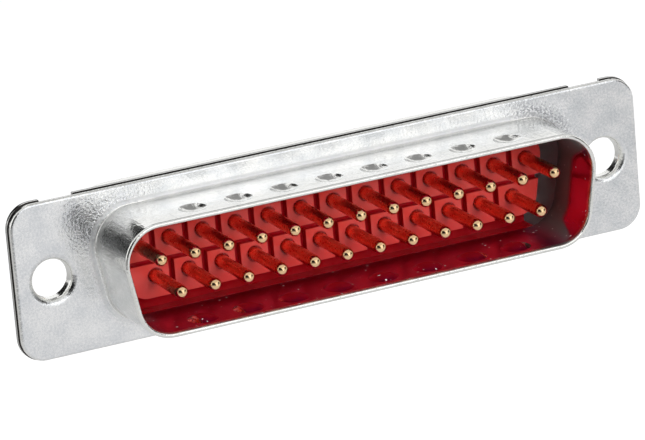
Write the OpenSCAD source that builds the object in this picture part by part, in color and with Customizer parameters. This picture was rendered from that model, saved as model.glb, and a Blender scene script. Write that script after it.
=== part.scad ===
// A D-shaped plug connector: two drawn tin-plated shells, two moulded insulators and two
// staggered rows of turned solder-cup contacts.
// Each piece is drawn lying on its back, with the mating side up along Z and the wide side of
// the D towards +Y. faced() then stands it up, with the mating side towards -Y and the wide
// side up. Heights are measured from the front face of the flange.

/* [Contacts] */
// Contacts in the upper row; the lower row has one fewer
top_count = 13; // [8:1:25]
// Distance between neighbouring contacts in a row
pitch = 2.77; // [2.6:0.01:3.2]
// Distance between the two rows
row_gap = 2.84; // [2.6:0.01:3.4]
// Diameter of a pin
pin_d = 1.02; // [0.8:0.01:1.2]
// Height of the pin tips above the flange
pin_reach = 5.35; // [4:0.05:5.6]
// Diameter of the shoulder that traps a contact between the insulators
shoulder_d = 2.1; // [1.9:0.05:2.3]
// Thickness of the shoulder
shoulder_t = 1.2; // [0.8:0.05:1.5]
// Diameter of the shank and of the solder cup at its end
cup_d = 1.7; // [1.5:0.05:1.8]
// Wall of the solder cup
cup_wall = 0.28; // [0.2:0.02:0.36]
// Length of the solder cup behind the rear insulator
cup_len = 4.6; // [4.2:0.1:6]
// Depth of the wire hole in the cup
cup_bore_len = 3.7; // [3.6:0.1:4]
// Length of the scoop that opens one side of the cup
cup_scoop_len = 2.2; // [1.5:0.1:2.6]

/* [Shroud] */
// From the axis of an end contact to the widest point inside the shroud
end_margin = 2.86; // [2.7:0.02:3.4]
// From the axis of a row to the wall inside the shroud
row_margin = 2.76; // [2.6:0.02:3.2]
// Slope of the two ends of the D
side_angle = 10; // [6:1:12]
// Inside radius of the corners of the D
corner_r = 2.6; // [2.2:0.1:3]
// Height of the shroud above the flange
shroud_h = 5.85; // [5.6:0.05:7]
// Sheet thickness of the front shell
front_sheet = 0.4; // [0.3:0.02:0.5]
// Radius of the hollow where the shroud meets the flange
root_r = 0.3; // [0.2:0.02:0.4]

/* [Dimples] */
// Dimples in each long wall of the shroud
dimple_count = 8; // [2:1:8]
// Distance between neighbouring dimples
dimple_pitch = 3.8; // [3:0.1:4.2]
// Width of a dimple
dimple_d = 2.2; // [1.8:0.1:2.4]
// Depth of a dimple
dimple_depth = 0.3; // [0.2:0.02:0.36]
// From the lip of the shroud down to the middle of a dimple
dimple_drop = 1.9; // [1.6:0.05:2.4]

/* [Flange] */
// From the widest point inside the shroud to the axis of a mounting hole
hole_offset = 4.04; // [3.8:0.02:5]
// Diameter of a mounting hole
hole_d = 3.1; // [2.8:0.05:3.4]
// Radius of the front sheet's bend into the burr of a mounting hole
burr_r = 0.5; // [0.42:0.01:0.56]
// Wall of that burr, which is drawn back through the rear sheet
burr_wall = 0.3; // [0.2:0.01:0.36]
// Gap around the burr in the rear sheet
burr_gap = 0.05; // [0.03:0.01:0.1]
// Width of the rim that the end of the burr is swaged into, behind the rear sheet
swage_w = 0.45; // [0.3:0.01:0.6]
// Thickness of that rim
swage_t = 0.25; // [0.15:0.01:0.4]
// From the axis of a mounting hole to the end of the flange
ear_margin = 3.08; // [2.6:0.02:5]
// From the wall inside the shroud to the long edge of the flange
edge_margin = 2.095; // [2:0.005:3]
// Radius of the flange's corners
flange_r = 2; // [1:0.1:2.5]
// Rounding that blanking leaves along an edge
edge_r = 0.2; // [0.1:0.02:0.26]
// How far the front sheet's edge lies inside the rear sheet's
front_inset = 0.08; // [0.04:0.01:0.12]
// From the widest point inside the shroud to the middle of a notch in the rear sheet
notch_offset = 2.98; // [2.8:0.02:3.2]
// Width of a notch
notch_w = 2.77; // [2:0.01:3]
// Depth of a notch
notch_depth = 0.8; // [0.4:0.05:1]

/* [Rear shell] */
// Sheet thickness of the rear shell
rear_sheet = 0.45; // [0.3:0.01:0.5]
// From the wall inside the shroud out to the wall inside the collar
collar_step = 0.72; // [0.7:0.01:0.9]
// Inside radius of the collar's two bends
collar_r = 0.25; // [0.15:0.01:0.28]
// Width of the shelf that is turned in behind the insulators
shelf_w = 1.7; // [1.4:0.05:2]

/* [Insulators] */
// Gap around an insulator inside the shells
fit_gap = 0.06; // [0.03:0.01:0.1]
// Radial gap around a contact in its bore
bore_gap = 0.03; // [0.02:0.005:0.05]
// Thickness of the front insulator's flange
front_block_t = 2.6; // [2.4:0.1:3.5]
// Thickness of the rear insulator's flange
rear_block_t = 1.4; // [1:0.1:2.5]
// Height of the rear insulator's boss behind the rear shell's shelf
boss_h = 1.7; // [1:0.1:3]
// From the start of the shroud's upper corners out to the end of both flanges
seat_reach = 0.34; // [0.2:0.02:0.8]
// Depth of the moat between the contact face and the front flange's rim
moat_depth = 2.2; // [1.2:0.1:2.3]
// Width of that rim
rim_w = 0.3; // [0.2:0.02:0.4]
// From the wall inside the shroud in to the contact face, at the two ends
moat_end = 1.5; // [1.2:0.05:1.7]
// From the wall inside the shroud in to the contact face, along the two rows
moat_side = 1.05; // [0.9:0.05:1.2]
// Radius of the contact face's corners
face_r = 1.5; // [0.8:0.1:2]
// Width of the grooves between the cells of a row
groove_w = 0.5; // [0.3:0.01:0.6]
// Width of the long groove between the rows
long_groove_w = 0.4; // [0.2:0.01:0.5]
// From the middle of the contact face down to the middle of the long groove
long_groove_drop = 0.25; // [0.1:0.01:0.3]
// Depth of all these grooves
groove_depth = 0.6; // [0.3:0.05:0.8]
// Diameter of the mouth around each pin
mouth_d = 1.3; // [1.2:0.02:1.6]
// Depth of that mouth
mouth_depth = 0.12; // [0.08:0.01:0.4]
// Step at the back of the rear insulator's flange, which clears the bend of the collar
block_step = 0.3; // [0.28:0.01:0.4]

/* [Hidden] */
$fn = 64;
// How far a cutting tool reaches past what it cuts
cut = 1;
// How far the pieces of one sheet or block reach into each other
seam_lap = 0.1;
// How much smaller a corner piece is than the straight runs, and how far it turns into them
seam_step = 0.002;
seam_turn = 0.3;
// How far the straight sides of an area lie inside its corner arcs, so that the two cross
arc_crossing = 0.001;

bottom_count = top_count - 1;
contact_count = top_count + bottom_count;
function contact_name(i) = str("contact_", i < 9 ? "0" : "", i + 1);

// Contacts are counted from the left end of the upper row, seen from the mating side
function row_x(i, n) = (i - (n - 1) / 2) * pitch;
function contact_at(i) = i < top_count ? [row_x(i, top_count), row_gap / 2]
                                       : [row_x(i - top_count, bottom_count), -row_gap / 2];
function in_top_row(i) = i < top_count;

// The inside of the shroud
d_half_h = row_gap / 2 + row_margin;
d_widest = row_x(top_count - 1, top_count) + end_margin;
d_mid_w = d_widest - corner_r - (d_half_h - corner_r) * tan(side_angle) + corner_r / cos(side_angle);

// The flange and its holes
hole_x = d_widest + hole_offset;
hole_r = hole_d / 2;
burr_out = hole_r + burr_wall;
notch_x = d_widest + notch_offset;
flange_w = 2 * (hole_x + ear_margin);
flange_h = 2 * (d_half_h + edge_margin);

// Heights of the faces behind the flange, from front to back
seam_z = -front_sheet;
rear_face_z = seam_z - rear_sheet;
swage_z = rear_face_z - swage_t;
blocks_z = seam_z - front_block_t;
shelf_z = blocks_z - rear_block_t;
shelf_back_z = shelf_z - rear_sheet;
boss_z = shelf_back_z - boss_h;
cup_end_z = boss_z - cup_len;

// Distances out from the wall inside the shroud
bend_end = front_sheet + root_r;
collar_bend_end = collar_step + rear_sheet + collar_r;
block_out = collar_step - fit_gap;
moat_out = block_out - rim_w;
shelf_in = collar_step - shelf_w;
boss_out = shelf_in - fit_gap;

// Half the length of the insulators' flanges
seat_half = d_widest - corner_r + seat_reach;

// The ball that presses a dimple
dimple_ball_r = (pow(dimple_d / 2, 2) + pow(dimple_depth, 2)) / (2 * dimple_depth);
dimple_wall = d_half_h + front_sheet;

pin_r = pin_d / 2;
cup_r = cup_d / 2;
cup_bore_r = cup_r - cup_wall;
pocket_z = blocks_z + shoulder_t;

// Four rounded corners, each [centre x, centre y, start angle, end angle], anticlockwise
function d_corners(mid_w, half_h, r) =
    let (y = half_h - r,
         x_mid = mid_w - r / cos(side_angle),
         lean = y * tan(side_angle))
    [[x_mid + lean, y, -side_angle, 90],
     [-x_mid - lean, y, 90, 180 + side_angle],
     [-x_mid + lean, -y, 180 + side_angle, 270],
     [x_mid - lean, -y, 270, 360 - side_angle]];
function plate_corners(w, h, r) =
    let (x = w / 2 - r, y = h / 2 - r)
    [[x, y, 0, 90], [-x, y, 90, 180], [-x, -y, 180, 270], [x, -y, 270, 360]];
function on_arc(c, r, angle) = [c[0], c[1]] + r * [cos(angle), sin(angle)];

shroud_d = d_corners(d_mid_w, d_half_h, corner_r);
flange_plate = plate_corners(flange_w, flange_h, flange_r);
face_d = d_corners(d_mid_w - moat_end / cos(side_angle), d_half_h - moat_side, face_r);

// Stands a piece up with its mating side towards -Y
module faced() {
    rotate([90, 0, 0]) children();
}

// The area inside an outline of four corners
module region(corners, r) {
    polygon([for (c = corners) for (angle = [c[2], c[3]]) on_arc(c, r - arc_crossing, angle)]);
    for (c = corners) translate([c[0], c[1]]) circle(r);
}

// The D of the shroud's inside wall, grown outwards
module grown_d(out) {
    region(shroud_d, corner_r + out);
}

// Carries a section around an outline: its X points outwards from the outline, its Y up.
// The corner pieces reach a little way into the straight runs. A section draws itself smaller
// by $shy there, so that each corner ends inside the runs that it joins.
module swept(corners, r) {
    for (i = [0:3]) {
        c = corners[i];
        next = corners[(i + 1) % 4];
        run = norm([next[0] - c[0], next[1] - c[1]]);
        translate([c[0], c[1], 0]) {
            rotate_extrude(angle = c[3] - c[2] + 2 * seam_turn, start = c[2] - seam_turn)
                translate([r, 0]) let ($shy = seam_step) children();
            rotate([90, 0, c[3]])
                translate([r, 0, -run]) linear_extrude(run) let ($shy = 0) children();
        }
    }
}

// An extrusion from one height up to another
module between(low, high) {
    translate([0, 0, low]) linear_extrude(high - low) children();
}

// A quarter of a bent sheet around a centre; turn 0 is the quarter at +X, +Y
module bend_section(centre, inner_r, sheet, turn) {
    translate(centre) rotate(turn) intersection() {
        difference() {
            circle(inner_r + sheet);
            circle(inner_r);
        }
        square(inner_r + sheet);
    }
}

// A quarter disc at +X, +Y
module quarter_disc(r) {
    intersection() {
        circle(r);
        square(r);
    }
}

// The outer border of a blanked plate, with its upper edge rounded over
module border_section(sheet) {
    inner = edge_r + seam_lap;
    translate([-inner, $shy - sheet]) square([inner - $shy, sheet - edge_r - $shy]);
    translate([-inner, -edge_r]) square([seam_lap, edge_r - $shy]);
    translate([-edge_r, -edge_r]) quarter_disc(edge_r - $shy);
}

// A blanked plate below height 0. Its edge lies the given inset inside the flange's outline, and
// its D opening lies the given distance outside the shroud's inside wall.
module blanked_plate(sheet, inset, opening) {
    between(-sheet, 0) difference() {
        region(flange_plate, flange_r - inset - edge_r - seam_lap / 2);
        grown_d(opening + seam_lap / 2);
    }
    swept(flange_plate, flange_r - inset) border_section(sheet);
}

// The front sheet is drawn back as a burr around a mounting hole. The end of the burr is swaged
// over the rear sheet's back, which holds the two shells together.
module hole_burr() {
    translate([0, 0, swage_z]) {
        cylinder(h = seam_z + front_sheet / 2 - swage_z, r = burr_out);
        cylinder(h = swage_t, r1 = burr_out + swage_w / 2, r2 = burr_out + swage_w);
    }
}

// A mounting hole through the burr, which the front sheet bends into
module burred_hole() {
    translate([0, 0, swage_z - cut]) cylinder(h = 2 * cut - swage_z, r = hole_r);
    rotate_extrude() translate([hole_r, -burr_r]) difference() {
        square(burr_r);
        translate([burr_r, 0]) circle(burr_r);
    }
}

// The rear sheet's hole, which the burr passes through
module burr_passage() {
    translate([0, 0, rear_face_z - cut])
        cylinder(h = rear_sheet + 2 * cut, r = burr_out + burr_gap);
}

module at_holes() {
    for (side = [-1, 1]) translate([side * hole_x, 0, 0]) children();
}

// Copies at the four notches, turned so that +Y leads out over the nearest long edge
module at_notches() {
    for (turn = [0, 180]) for (side = [-1, 1])
        rotate(turn) translate([side * notch_x, 0, 0]) children();
}

module at_contacts() {
    for (i = [0:contact_count - 1]) translate(contact_at(i)) children();
}

module at_dimples() {
    for (turn = [0, 180]) for (i = [0:dimple_count - 1])
        rotate(turn)
            translate([(i - (dimple_count - 1) / 2) * dimple_pitch,
                       dimple_wall + dimple_ball_r - dimple_depth,
                       shroud_h - dimple_drop])
                children();
}

// The wall of the shroud, from its bend out of the flange to its rounded lip
module shroud_section() {
    lip_r = front_sheet / 2;
    thin = front_sheet - 2 * $shy;
    translate([$shy, root_r]) square([thin, shroud_h - lip_r - root_r]);
    translate([lip_r, shroud_h - lip_r]) for (turn = [0, 90]) rotate(turn) quarter_disc(lip_r - $shy);
    bend_section([bend_end, root_r], root_r + $shy, thin, 180);
    translate([bend_end, $shy - front_sheet]) square([seam_lap, thin]);
}

// A dimple raises the same ball, one sheet larger, on the inside of the wall
module dimple_bump() {
    inner_r = dimple_ball_r + front_sheet;
    wall_y = dimple_depth - dimple_ball_r;
    intersection() {
        sphere(inner_r);
        translate([-inner_r, wall_y - front_sheet / 2 - inner_r, -inner_r])
            cube([2 * inner_r, inner_r, 2 * inner_r]);
    }
}

module front_shell() {
    color([0.82, 0.83, 0.85]) faced() difference() {
        union() {
            blanked_plate(front_sheet, front_inset, bend_end);
            swept(shroud_d, corner_r) shroud_section();
            at_dimples() dimple_bump();
            at_holes() hole_burr();
        }
        at_dimples() sphere(dimple_ball_r);
        at_holes() burred_hole();
    }
}

// The collar, from its bend behind the flange to the shelf at its back
module collar_section() {
    thin = rear_sheet - 2 * $shy;
    front_bend_y = rear_face_z - collar_r;
    back_bend_y = shelf_z + collar_r;
    translate([collar_bend_end, rear_face_z + $shy]) square([seam_lap, thin]);
    bend_section([collar_bend_end, front_bend_y], collar_r + $shy, thin, 90);
    translate([collar_step + $shy, back_bend_y]) square([thin, front_bend_y - back_bend_y]);
    bend_section([collar_step - collar_r, back_bend_y], collar_r + $shy, thin, -90);
    translate([shelf_in + $shy, shelf_back_z + $shy]) square([shelf_w - collar_r - $shy, thin]);
}

module notch() {
    translate([-notch_w / 2, flange_h / 2 - notch_depth, rear_face_z - cut])
        cube([notch_w, notch_depth + cut, rear_sheet + 2 * cut]);
}

module rear_shell() {
    color([0.74, 0.75, 0.77]) faced() difference() {
        union() {
            translate([0, 0, seam_z]) blanked_plate(rear_sheet, 0, collar_bend_end);
            swept(shroud_d, corner_r) collar_section();
        }
        at_holes() burr_passage();
        at_notches() notch();
    }
}

// The grooves between the cells, staggered from one row to the other. All end in the moat.
module cell_grooves() {
    reach = d_half_h - moat_side / 2;
    end_reach = d_mid_w - moat_end / 2;
    for (i = [0:top_count - 2])
        translate([row_x(i + 0.5, top_count) - groove_w / 2, -long_groove_drop])
            square([groove_w, reach + long_groove_drop]);
    for (i = [0:bottom_count - 2])
        translate([row_x(i + 0.5, bottom_count) - groove_w / 2, -reach])
            square([groove_w, reach - long_groove_drop]);
    translate([-end_reach, -long_groove_drop - long_groove_w / 2])
        square([2 * end_reach, long_groove_w]);
}

// The flange of an insulator. It seats along the long sides of the collar, and ends short of the
// collar's two ends.
module seated_flange(out) {
    intersection() {
        grown_d(out);
        square([2 * seat_half, flange_h], center = true);
    }
}

module front_insulator() {
    color([0.74, 0.07, 0.09]) faced() difference() {
        union() {
            between(blocks_z, seam_z) seated_flange(block_out);
            between(blocks_z, 0) region(face_d, face_r);
        }
        between(-moat_depth, seam_z + cut) difference() {
            grown_d(moat_out);
            region(face_d, face_r);
        }
        between(-groove_depth, cut) cell_grooves();
        at_contacts() {
            translate([0, 0, -mouth_depth]) cylinder(h = mouth_depth + cut, d = mouth_d);
            translate([0, 0, blocks_z - cut]) cylinder(h = cut - blocks_z, r = pin_r + bore_gap);
            translate([0, 0, blocks_z - cut])
                cylinder(h = shoulder_t + cut, r = shoulder_d / 2 + bore_gap);
        }
    }
}

module rear_insulator() {
    color([0.66, 0.06, 0.08]) faced() difference() {
        union() {
            between(shelf_z + block_step, blocks_z) seated_flange(block_out);
            between(shelf_z, shelf_z + block_step) seated_flange(block_out - block_step);
            between(boss_z, blocks_z) grown_d(boss_out);
        }
        at_contacts()
            translate([0, 0, boss_z - cut])
                cylinder(h = blocks_z - boss_z + 2 * cut, r = cup_r + bore_gap);
    }
}

// The turned outline of a contact, from the axis outwards
module contact_section() {
    tip_z = pin_reach - pin_r;
    translate([0, pocket_z]) square([pin_r, tip_z - pocket_z]);
    translate([0, tip_z]) intersection() {
        circle(pin_r);
        square(pin_r);
    }
    translate([0, blocks_z]) square([shoulder_d / 2, shoulder_t]);
    translate([0, cup_end_z]) square([cup_r, blocks_z - cup_end_z]);
}

// A contact's cup opens up in the upper row and down in the lower one
module contact(i) {
    color([0.86, 0.69, 0.33]) faced() translate(contact_at(i)) rotate(in_top_row(i) ? 0 : 180)
        difference() {
            rotate_extrude() contact_section();
            translate([0, 0, cup_end_z - cut]) cylinder(h = cup_bore_len + cut, r = cup_bore_r);
            translate([-cup_d, 0, cup_end_z]) rotate([90, 0, 90]) linear_extrude(2 * cup_d)
                polygon([[0, -cut], [0, cup_scoop_len],
                         [cup_d, cup_scoop_len + cup_d], [cup_d, -cut]]);
        }
}

front_shell();
rear_shell();
front_insulator();
rear_insulator();
for (i = [0:contact_count - 1])
    contact(i);
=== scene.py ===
from math import cos, radians, sin, tan

import bmesh
import bpy
from mathutils import Matrix, Vector


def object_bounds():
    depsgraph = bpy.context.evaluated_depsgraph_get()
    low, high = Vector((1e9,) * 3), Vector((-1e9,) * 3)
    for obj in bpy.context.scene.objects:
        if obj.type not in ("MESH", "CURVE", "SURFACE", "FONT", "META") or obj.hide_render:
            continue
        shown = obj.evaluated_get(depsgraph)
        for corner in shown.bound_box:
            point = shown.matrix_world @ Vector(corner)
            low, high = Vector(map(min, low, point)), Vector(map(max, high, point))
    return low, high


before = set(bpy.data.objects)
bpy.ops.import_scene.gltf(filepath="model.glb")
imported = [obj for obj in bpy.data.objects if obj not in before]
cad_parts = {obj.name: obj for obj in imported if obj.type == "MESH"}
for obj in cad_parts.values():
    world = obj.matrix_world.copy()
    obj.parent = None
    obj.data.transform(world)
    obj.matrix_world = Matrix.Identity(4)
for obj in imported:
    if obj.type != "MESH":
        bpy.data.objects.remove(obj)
cad_low, cad_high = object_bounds()


# Front and rear shell: two cups of thin steel sheet, blanked and drawn on a press and plated with tin.
# The front shell's holes have burrs that are swaged over the rear one. The draw polishes the shroud's
# walls, and the flange keeps the satin grain of the rolled sheet, rougher where the draw strained it.
MM_PER_M = 1000


class Field:
    """A value that varies over a surface. Arithmetic on it adds Math nodes to its material."""

    def __init__(self, socket):
        self.socket = socket
        self.tree = socket.id_data

    def node(self, kind, settings, sockets, output=0):
        """Adds a node, sets it up, feeds its sockets and returns one of its outputs."""
        made = self.tree.nodes.new(kind)
        for name, value in settings.items():
            setattr(made, name, value)
        for key, value in sockets.items():
            if isinstance(value, Field):
                self.tree.links.new(value.socket, made.inputs[key])
            else:
                made.inputs[key].default_value = value
        return Field(made.outputs[output])

    def maths(self, operation, second=0.0):
        return self.node("ShaderNodeMath", {"operation": operation}, {0: self, 1: second})

    def __add__(self, other):
        return self.maths("ADD", other)

    def __sub__(self, other):
        return self.maths("SUBTRACT", other)

    def __rsub__(self, other):
        return self.node("ShaderNodeMath", {"operation": "SUBTRACT"}, {0: other, 1: self})

    def __mul__(self, other):
        return self.maths("MULTIPLY", other)

    __radd__ = __add__
    __rmul__ = __mul__

    def __neg__(self):
        return self * -1.0

    def __abs__(self):
        return self.maths("ABSOLUTE")

    def axis(self, name):
        return self.node("ShaderNodeSeparateXYZ", {}, {"Vector": self}, "XYZ".index(name))

    def stretched(self, x, y, z):
        """A place with its three axes scaled, for a pattern that runs along one of them."""
        return self.node("ShaderNodeVectorMath", {"operation": "MULTIPLY"}, {0: self, 1: (x, y, z)})

    def rise(self, low, high):
        """0 below low and 1 above high, with a smooth step between them."""
        return self.node("ShaderNodeMapRange", {"interpolation_type": "SMOOTHSTEP"},
                         {"Value": self, "From Min": low, "From Max": high})

    def noise(self, scale, detail=2.0):
        """Noise with about this many grains to a millimetre."""
        return self.node("ShaderNodeTexNoise", {}, {"Vector": self, "Scale": scale, "Detail": detail})

    def blend(self, colour_at_0, colour_at_1):
        """A mix of two colours, by this value."""
        return self.node("ShaderNodeMix", {"data_type": "RGBA"},
                         {0: self, 6: colour_at_0, 7: colour_at_1}, 2)

    def bump(self):
        """A normal from this height in millimetres."""
        return self.node("ShaderNodeBump", {}, {"Height": self, "Distance": 1 / MM_PER_M})

    def feed(self, shader, name):
        self.tree.links.new(self.socket, shader.inputs[name])


def new_finish(name):
    """A material, its shader, and the place of a point on the piece, in millimetres."""
    material = bpy.data.materials.new(name)
    material.use_nodes = True
    tree = material.node_tree
    place = Field(tree.nodes.new("ShaderNodeTexCoord").outputs["Object"])
    place = place.node("ShaderNodeVectorMath", {"operation": "SCALE"}, {"Vector": place, "Scale": MM_PER_M})
    return material, tree.nodes["Principled BSDF"], place


def coat(node_names, material):
    for name in node_names:
        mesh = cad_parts[name].data
        mesh.materials.clear()
        mesh.materials.append(material)


# The inside of the shroud and the outline of the flange, in millimetres
SHROUD_HALF_LENGTH = 19.24
SHROUD_HALF_HEIGHT = 4.18
SHROUD_CORNER = 2.6
SHROUD_SLOPE = radians(10)
FLANGE_HALF_LENGTH = cad_high.x * MM_PER_M
FLANGE_HALF_HEIGHT = cad_high.z * MM_PER_M
FLANGE_CORNER = 2.0


def out_of_corner(past_end, past_side, radius, slope=0.0, turn=1.0):
    """How far a point lies outside a rounded outline, from its distances past the two lines through a
    corner's centre. The end leans outwards by a slope where turn is 1, and inwards where it is -1."""
    lean = -sin(slope) * turn
    end = past_end.maths("MAXIMUM", past_side * lean)
    side = past_side.maths("MAXIMUM", past_end * lean)
    return (end * end + side * side - 2 * lean * end * side).maths("SQRT") * (1 / cos(slope)) - radius


def out_of_shroud(place):
    x, z = abs(place.axis("X")), place.axis("Z")
    centre_x = SHROUD_HALF_LENGTH - SHROUD_CORNER / cos(SHROUD_SLOPE)
    past_end = (x - z * tan(SHROUD_SLOPE) - centre_x) * cos(SHROUD_SLOPE)
    past_side = abs(z) - (SHROUD_HALF_HEIGHT - SHROUD_CORNER)
    return out_of_corner(past_end, past_side, SHROUD_CORNER, SHROUD_SLOPE, z.maths("SIGN"))


def out_of_flange(place):
    past_end = abs(place.axis("X")) - (FLANGE_HALF_LENGTH - FLANGE_CORNER)
    past_side = abs(place.axis("Z")) - (FLANGE_HALF_HEIGHT - FLANGE_CORNER)
    return out_of_corner(past_end, past_side, FLANGE_CORNER)


# The finish changes along the length X, the depth Y and the height Z, and with the distance out of one of
# the two outlines. Each change begins at its first number and is complete at its second, in millimetres.
RIGHT_HALF_X = (-1.0, 1.0)


def right_half(place):
    return place.axis("X").rise(*RIGHT_HALF_X)


# The shroud's inner walls face the middle. At both ends near the flange they carry a painted shade, which
# reaches further forward in the upper corners and in the lower right one.
INWARD_REACH = (0.3, 1.5)
INNER_FACE_OUT = (0.02, 0.08)
DIMPLE_OUT = (-0.24, -0.06)
SHADE_X = (15.5, 18.0)
SHADE_Y = (-2.9, -2.1)
UPPER_CORNER_Z = (1.2, 3.4)
LOWER_CORNER_Z = (3.2, 4.2)
CORNER_SHADE_REACH = 3.2


def inner_walls(place, normal, out):
    """The shroud's inner walls, their dimples and the painted shade at their ends."""
    x, y, z = abs(place.axis("X")), place.axis("Y"), place.axis("Z")
    outward = place.axis("X") * normal.axis("X") + z * normal.axis("Z")
    walls = (-outward).rise(*INWARD_REACH) * (1 - out.rise(*INNER_FACE_OUT))
    dimples = walls * (1 - out.rise(*DIMPLE_OUT))
    corners = z.rise(*UPPER_CORNER_Z).maths("MAXIMUM", (-z).rise(*LOWER_CORNER_Z) * right_half(place))
    shade = walls * x.rise(*SHADE_X) * (y + CORNER_SHADE_REACH * corners).rise(*SHADE_Y)
    return walls, dimples, shade


# The flange's faces lie square to Y. The draw strained them beside the shroud's upper corners and raised
# them a little beside both ends. Beside the upper right corner they carry a painted speckle of dark
# reflections.
FLAT_NORMAL_Y = (0.6, 0.95)
WALL_Y = (-5.0, -4.0)
STRAIN_OUT = (0.6, 3.2)
STRAIN_X = (13.0, 17.0)
STRAIN_Z = (0.5, 2.5)
SPECKLE_OUT = (0.9, 2.4)
SPECKLE_X = (15.0, 16.5)
SPECKLE_NOISE = (0.42, 0.58)
RAISED_OUT = (0.0, 1.5)
RAISED_X = (14.0, 17.5)


def flange_faces(place, normal, out):
    """The flange's faces, where they are strained and raised, and the painted speckle of dark reflections
    beside the upper right corner.
    """
    x, y, z = abs(place.axis("X")), place.axis("Y"), place.axis("Z")
    flat = abs(normal.axis("Y")).rise(*FLAT_NORMAL_Y) * y.rise(*WALL_Y)
    strained = flat * (1 - out.rise(*STRAIN_OUT)) * x.rise(*STRAIN_X) * z.rise(*STRAIN_Z)
    speckle_zone = strained * right_half(place) * x.rise(*SPECKLE_X) * (1 - out.rise(*SPECKLE_OUT))
    reflection_speckles = speckle_zone * place.noise(5.5).rise(*SPECKLE_NOISE)
    raised = flat * (1 - out.rise(*RAISED_OUT)) * x.rise(*RAISED_X)
    return flat, strained, reflection_speckles, raised


# The flanges' cut edges carry a painted shadow in the seam between the two sheets and, behind it, a painted
# shade on the sheared part of the rear sheet. Both are paler at the right end.
EDGE_OUT = (-0.24, -0.14)
END_EDGE_X = (26.0, 26.4)
END_EDGE_FADE = 0.4
SEAM_Y = 0.44
SEAM_HALF_WIDTH = (0.08, 0.16)
SHEARED_Y = (0.6, 0.7)


def cut_edges(place):
    """The painted shadow in the seam of the flanges' cut edges, and the painted shade on the sheared part
    behind it.
    """
    x, y = abs(place.axis("X")), place.axis("Y")
    edge = out_of_flange(place).rise(*EDGE_OUT)
    edge = edge * (1 - END_EDGE_FADE * right_half(place) * x.rise(*END_EDGE_X))
    seam = edge * (1 - abs(y - SEAM_Y).rise(*SEAM_HALF_WIDTH))
    sheared = edge * y.rise(*SHEARED_Y)
    return seam, sheared


# The plate is cloudy all over, with a fine mottle on the flange's ears and streaks along what lies between
EAR_X = (14.0, 18.0)
TONE_NOISE = (0.33, 0.67)


def plate_tone(place, cloud):
    mottle = place.noise(6.0, 3.0)
    streaks = place.stretched(0.22, 1, 1).noise(1.6, 3.0)
    ears = abs(place.axis("X")).rise(*EAR_X)
    tone = 0.45 * cloud + (0.20 + 0.35 * ears) * mottle + 0.35 * (1 - ears) * streaks
    return tone.rise(*TONE_NOISE)


# Heights of the plate's relief, in millimetres, and how much of its texture the inner walls lose
RAISED_HEIGHT = 0.08
PEEL_HEIGHT = 0.014
GRAIN_HEIGHT = 0.014
STRAINED_GRAIN_HEIGHT = 0.07
DRAW_LINE_HEIGHT = 0.02
INNER_WALL_POLISH = 0.7


def plate_relief(place, walls, flat, strained, raised):
    """Orange peel and grain, coarser where the sheet is strained, and lines along the draw on the walls."""
    peel = place.noise(1.6)
    grain = place.noise(4.5, 3.0)
    draw_lines = place.stretched(1, 0.1, 1).noise(4.0)
    grain_height = GRAIN_HEIGHT + (STRAINED_GRAIN_HEIGHT - GRAIN_HEIGHT) * strained
    texture = PEEL_HEIGHT * peel + grain * grain_height + DRAW_LINE_HEIGHT * draw_lines * (1 - flat)
    return RAISED_HEIGHT * raised + texture * (1 - INNER_WALL_POLISH * walls)


# Colours of the plate; painted reflections of the red face on its inner walls behind the lip and in their
# dimples; painted shade and painted dark reflections; and dust. The rear shell's shelf and the inside of
# its collar are matt, with painted shade on them.
SATIN_GREY = (0.70, 0.72, 0.75, 1)
SATIN_PALE = (0.95, 0.95, 0.95, 1)
DRAWN_GREY = (0.82, 0.82, 0.79, 1)
DRAWN_PALE = (0.95, 0.95, 0.93, 1)
PAINTED_REFLECTION_RED = (0.60, 0.03, 0.20, 1)
LIP_Y = (-5.8, -5.3)
DIMPLE_REFLECTION_RED = (0.62, 0.02, 0.07, 1)
PAINTED_SHADE_GREY = (0.33, 0.40, 0.40, 1)
DARK_REFLECTION_GREY = (0.27, 0.28, 0.30, 1)
SPECKLE_STRENGTH = 0.75
SHELF_SHADE_GREY = (0.80, 0.80, 0.80, 1)
SHELF_Y = (-0.3, 0.5)
COLLAR_OUT = (0.75, 0.95)
SHEARED_SHADE_GREY = (0.30, 0.30, 0.30, 1)
DUST_GREY = (0.80, 0.78, 0.78, 1)
DUST_NOISE = (0.80, 0.84)
SEAM_SHADOW_BLACK = (0.04, 0.036, 0.034, 1)


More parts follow.
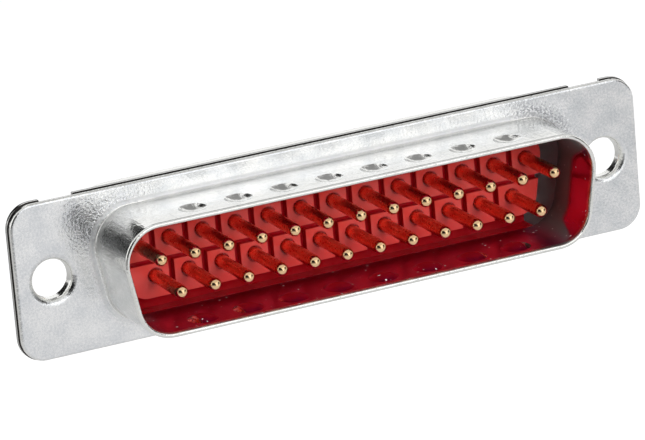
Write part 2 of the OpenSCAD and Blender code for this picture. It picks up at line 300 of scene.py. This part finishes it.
def tin_plate():
    material, shader, place = new_finish("tin_plate")
    normal = place.node("ShaderNodeTexCoord", {}, {}, "Normal")
    y = place.axis("Y")
    out = out_of_shroud(place)
    walls, dimples, shade = inner_walls(place, normal, out)
    flat, strained, reflection_speckles, raised = flange_faces(place, normal, out)
    seam, sheared = cut_edges(place)
    shelf = y.rise(*SHELF_Y) * (1 - out.rise(*COLLAR_OUT))
    dust = walls * place.noise(4.0, 0.0).rise(*DUST_NOISE)
    cloud = place.noise(0.55, 3.0)
    tone = plate_tone(place, cloud)
    colour = flat.blend(tone.blend(DRAWN_GREY, DRAWN_PALE), tone.blend(SATIN_GREY, SATIN_PALE))
    # Painted reflection of the red face on the inner walls behind the lip
    colour = (walls * y.rise(*LIP_Y)).blend(colour, PAINTED_REFLECTION_RED)
    # Painted reflection of the red face in the dimples
    colour = dimples.blend(colour, DIMPLE_REFLECTION_RED)
    # Painted shade at the ends of the inner walls
    colour = shade.blend(colour, PAINTED_SHADE_GREY)
    # Painted speckle of dark reflections beside the upper right corner
    colour = (SPECKLE_STRENGTH * reflection_speckles).blend(colour, DARK_REFLECTION_GREY)
    # Painted shade on the shelf and inside the collar, which are also matt
    colour = shelf.blend(colour, SHELF_SHADE_GREY)
    # Painted shade on the sheared part of the rear sheet's edge
    colour = sheared.blend(colour, SHEARED_SHADE_GREY)
    colour = dust.blend(colour, DUST_GREY)
    # Painted shadow in the seam between the two sheets
    seam.blend(colour, SEAM_SHADOW_BLACK).feed(shader, "Base Color")
    (1 - dust).feed(shader, "Metallic")
    roughness = 0.14 + 0.07 * flat + 0.20 * walls * abs(normal.axis("Z")) + 0.25 * dimples
    roughness = roughness + 0.45 * shelf.maths("MAXIMUM", shade) + 0.08 * (cloud - 0.5)
    roughness.feed(shader, "Roughness")
    plate_relief(place, walls, flat, strained, raised).bump().feed(shader, "Normal")
    return material


coat(["front_shell", "rear_shell"], tin_plate())


# Front and rear insulator: two mouldings of glossy red plastic that lets a little light through. The
# front one shows as the contact face, and the rear one as the boss behind the rear shell.
FACE_Y = (0.02, 0.2)
FACE_SHEEN_RED = (0.80, 0.075, 0.063, 1)
BODY_RED = (0.43, 0.001, 0.006, 1)
BODY_RED_PALE = (0.53, 0.003, 0.012, 1)
MOULDED_RELIEF = 0.003


def red_moulding():
    material, shader, place = new_finish("red_moulding")
    face = 1 - place.axis("Y").rise(*FACE_Y)
    colour = place.noise(0.5).blend(BODY_RED, BODY_RED_PALE)
    # The contact face is paler and pinker than the body: a painted sheen of the light on it
    face.blend(colour, FACE_SHEEN_RED).feed(shader, "Base Color")
    roughness = 0.14 + 0.10 * place.noise(2.5)
    roughness.feed(shader, "Roughness")
    (MOULDED_RELIEF * place.noise(6.0)).bump().feed(shader, "Normal")
    shader.inputs["IOR"].default_value = 1.52
    shader.inputs["Specular IOR Level"].default_value = 0.3
    shader.inputs["Subsurface Weight"].default_value = 0.35
    shader.inputs["Subsurface Radius"].default_value = (1.0, 0.12, 0.08)
    shader.inputs["Subsurface Scale"].default_value = 0.0006
    return material


coat(["front_insulator", "rear_insulator"], red_moulding())


# Contacts: each is turned from brass bar and plated with gold, with a round tip, a shoulder that the
# insulators trap, and a solder cup at the back. Between tip and face the shaft's colour is a painted
# reflection of the red face.
TIP_Y = (-4.95, -4.75)
SHAFT_FOOT_Y = (0.0, 1.0)
TURNING_MARKS = 60.0
TURNING_RELIEF = 0.0004
PLATED_RELIEF = 0.0015
GOLD = (0.90, 0.58, 0.30, 1)
GOLD_PALE = (0.98, 0.70, 0.42, 1)
SHAFT_REFLECTION_RED = (0.88, 0.32, 0.18, 1)


def gold_plate():
    material, shader, place = new_finish("gold_plate")
    y = place.axis("Y")
    shaft = y.rise(*TIP_Y) * (1 - y.rise(*SHAFT_FOOT_Y))
    colour = place.noise(1.4).blend(GOLD, GOLD_PALE)
    # Painted reflection of the red face on the shafts
    shaft.blend(colour, SHAFT_REFLECTION_RED).feed(shader, "Base Color")
    roughness = 0.08 + 0.06 * place.noise(5.0) + 0.17 * shaft
    roughness.feed(shader, "Roughness")
    rings = (y * TURNING_MARKS).maths("SINE")
    (TURNING_RELIEF * rings + PLATED_RELIEF * place.noise(8.0)).bump().feed(shader, "Normal")
    shader.inputs["Metallic"].default_value = 1.0
    return material


coat([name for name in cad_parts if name.startswith("contact_")], gold_plate())


# Studio: a white floor below the part, in white surroundings, with two soft lamps in front of it on the
# right. Curved cards around it, dark or grey, give the plated metal something to mirror.
FLOOR_DROP = 0.045
FLOOR_SIZE = 4.0
FLOOR_GREY = (0.62, 0.62, 0.62, 1)
FLOOR_ROUGHNESS = 0.9
FLOOR_GLOW = 0.5
AMBIENT = 0.5
WHITE = (1, 1, 1, 1)
BLACK = (0, 0, 0, 1)


def light_path(tree, name):
    return Field(tree.nodes.new("ShaderNodeLightPath").outputs[name])


def shows_surroundings(tree):
    """1 for rays that show the surroundings in the picture: direct, mirrored or seen through glass."""
    camera, glossy, through = (
        light_path(tree, name) for name in ("Is Camera Ray", "Is Glossy Ray", "Is Transmission Ray"))
    return camera.maths("MAXIMUM", glossy).maths("MAXIMUM", through)


def white_surroundings():
    world = bpy.data.worlds.new("surroundings")
    world.use_nodes = True
    bpy.context.scene.world = world
    tree = world.node_tree
    background = tree.nodes["Background"]
    background.inputs["Color"].default_value = WHITE
    (AMBIENT + (1 - AMBIENT) * shows_surroundings(tree)).feed(background, "Strength")


def floor():
    bpy.ops.mesh.primitive_plane_add(size=FLOOR_SIZE, location=(0, 0, cad_low.z - FLOOR_DROP))
    plane = bpy.context.object
    plane.name = "floor"
    material = bpy.data.materials.new("floor")
    material.use_nodes = True
    tree = material.node_tree
    shader = tree.nodes["Principled BSDF"]
    shader.inputs["Base Color"].default_value = FLOOR_GREY
    shader.inputs["Roughness"].default_value = FLOOR_ROUGHNESS
    shader.inputs["Emission Strength"].default_value = FLOOR_GLOW
    light_path(tree, "Is Camera Ray").blend(BLACK, WHITE).feed(shader, "Emission Color")
    plane.data.materials.append(material)


LAMP_DISTANCE = 0.9
LAMP_WIDTH = 0.84


def softbox(name, direction, height, power, mirrored=True):
    """A soft lamp that faces the part, in a direction from it, with its power in watts."""
    lamp = bpy.data.lights.new(name, "AREA")
    lamp.shape = "RECTANGLE"
    lamp.size = LAMP_WIDTH
    lamp.size_y = height
    lamp.energy = power
    box = bpy.data.objects.new(name, lamp)
    bpy.context.scene.collection.objects.link(box)
    box.location = Vector(direction).normalized() * LAMP_DISTANCE
    box.rotation_mode = "QUATERNION"
    box.rotation_quaternion = (-box.location).to_track_quat("-Z", "Y")
    box.visible_camera = False
    box.visible_glossy = mirrored


CARD_STEPS = 12
CARD_FADE = radians(5)
CARD_DISTANCE = 1.3
NEAR_CARD_DISTANCE = 0.15


def card_sheet(name, half_width, low, high, distance):
    """A piece of a sphere around the part, between two elevations and centred on -Y."""
    shape = bmesh.new()
    foot = Vector((-sin(half_width) * cos(low), -cos(half_width) * cos(low), sin(low)))
    end_vertex = shape.verts.new(foot * distance)
    rising = Vector((-cos(half_width), sin(half_width), 0))
    bmesh.ops.spin(shape, geom=[end_vertex], axis=rising, angle=high - low, steps=CARD_STEPS)
    bmesh.ops.spin(shape, geom=shape.edges[:], axis=(0, 0, 1), angle=2 * half_width, steps=CARD_STEPS)
    sheet = bpy.data.meshes.new(name)
    shape.to_mesh(sheet)
    shape.free()
    return sheet


def card(name, azimuths, elevations, tone, distance=CARD_DISTANCE):
    """A curved card that only mirrors see, between two azimuths and two elevations in degrees.
    Azimuths run to the right from the mating side. The card fades out towards its edges."""
    left, right = (radians(angle) for angle in azimuths)
    low, high = (radians(angle) for angle in elevations)
    half_width = (right - left) / 2
    sheet = bpy.data.objects.new(name, card_sheet(name, half_width, low, high, distance))
    sheet.rotation_euler.z = (left + right) / 2
    bpy.context.scene.collection.objects.link(sheet)
    material = bpy.data.materials.new(name)
    material.use_nodes = True
    tree = material.node_tree
    tree.nodes.remove(tree.nodes["Principled BSDF"])
    place = Field(tree.nodes.new("ShaderNodeTexCoord").outputs["Object"])
    azimuth = place.axis("X").maths("ARCTAN2", -place.axis("Y"))
    elevation = (place.axis("Z") * (1 / distance)).maths("ARCSINE")
    inside = 1 - abs(azimuth).rise(half_width - CARD_FADE, half_width)
    inside = inside * elevation.rise(low, low + CARD_FADE) * (1 - elevation.rise(high - CARD_FADE, high))
    clear = place.node("ShaderNodeBsdfTransparent", {}, {})
    dark = place.node("ShaderNodeEmission", {}, {"Color": (tone, tone, tone, 1)})
    seen = place.node("ShaderNodeMixShader", {}, {0: inside, 1: clear, 2: dark})
    seen.feed(tree.nodes["Material Output"], "Surface")
    sheet.data.materials.append(material)
    sheet.visible_camera = False
    sheet.visible_diffuse = False
    sheet.visible_transmission = False
    sheet.visible_shadow = False


white_surroundings()
floor()
softbox("front_right_lamp", direction=(0.356, -0.882, 0.309), height=0.45, power=0.50)
softbox("front_fill", direction=(0.311, -0.769, 0.559), height=0.8, power=9.6, mirrored=False)
card("front_low_card", azimuths=(-76, -2), elevations=(-6, 24), tone=0.012)
card("front_near_card", azimuths=(-90, 2), elevations=(-19, 0), tone=0.30, distance=NEAR_CARD_DISTANCE)
card("right_near_card", azimuths=(24, 70), elevations=(-19, -4), tone=0.60, distance=NEAR_CARD_DISTANCE)
card("front_left_card", azimuths=(-76, -18), elevations=(12, 62), tone=0.012)
card("ceiling_card", azimuths=(-130, 130), elevations=(36, 90), tone=0.72)
card("overhead_card", azimuths=(80, 173), elevations=(30, 82), tone=0.27)
card("back_left_card", azimuths=(175, 215), elevations=(0, 60), tone=0.012)
card("front_right_card", azimuths=(29, 78), elevations=(-8, 30), tone=0.03)


# Camera: a long lens, left of the mating side and above it, as the photograph was taken. Its place is in
# metres, and its two directions are those of the picture's right and top.
CAMERA_PLACE = (-0.157295, -0.354618, 0.121921)
CAMERA_RIGHT = Vector((0.90112, -0.42557, -0.08292))
CAMERA_UP = Vector((0.20008, 0.23848, 0.95031))
SENSOR_WIDTH_MM = 36.0
LENS_MM = 295.07
NEAREST_SEEN = 0.01

camera_data = bpy.data.cameras.new("camera")
camera_data.sensor_width = SENSOR_WIDTH_MM
camera_data.lens = LENS_MM
camera_data.clip_start = NEAREST_SEEN
camera = bpy.data.objects.new("camera", camera_data)
bpy.context.scene.collection.objects.link(camera)
turn = Matrix((CAMERA_RIGHT, CAMERA_UP, CAMERA_RIGHT.cross(CAMERA_UP))).transposed().to_4x4()
camera.matrix_world = Matrix.Translation(CAMERA_PLACE) @ turn
bpy.context.scene.camera = camera
bpy.context.scene.view_settings.view_transform = "Standard"
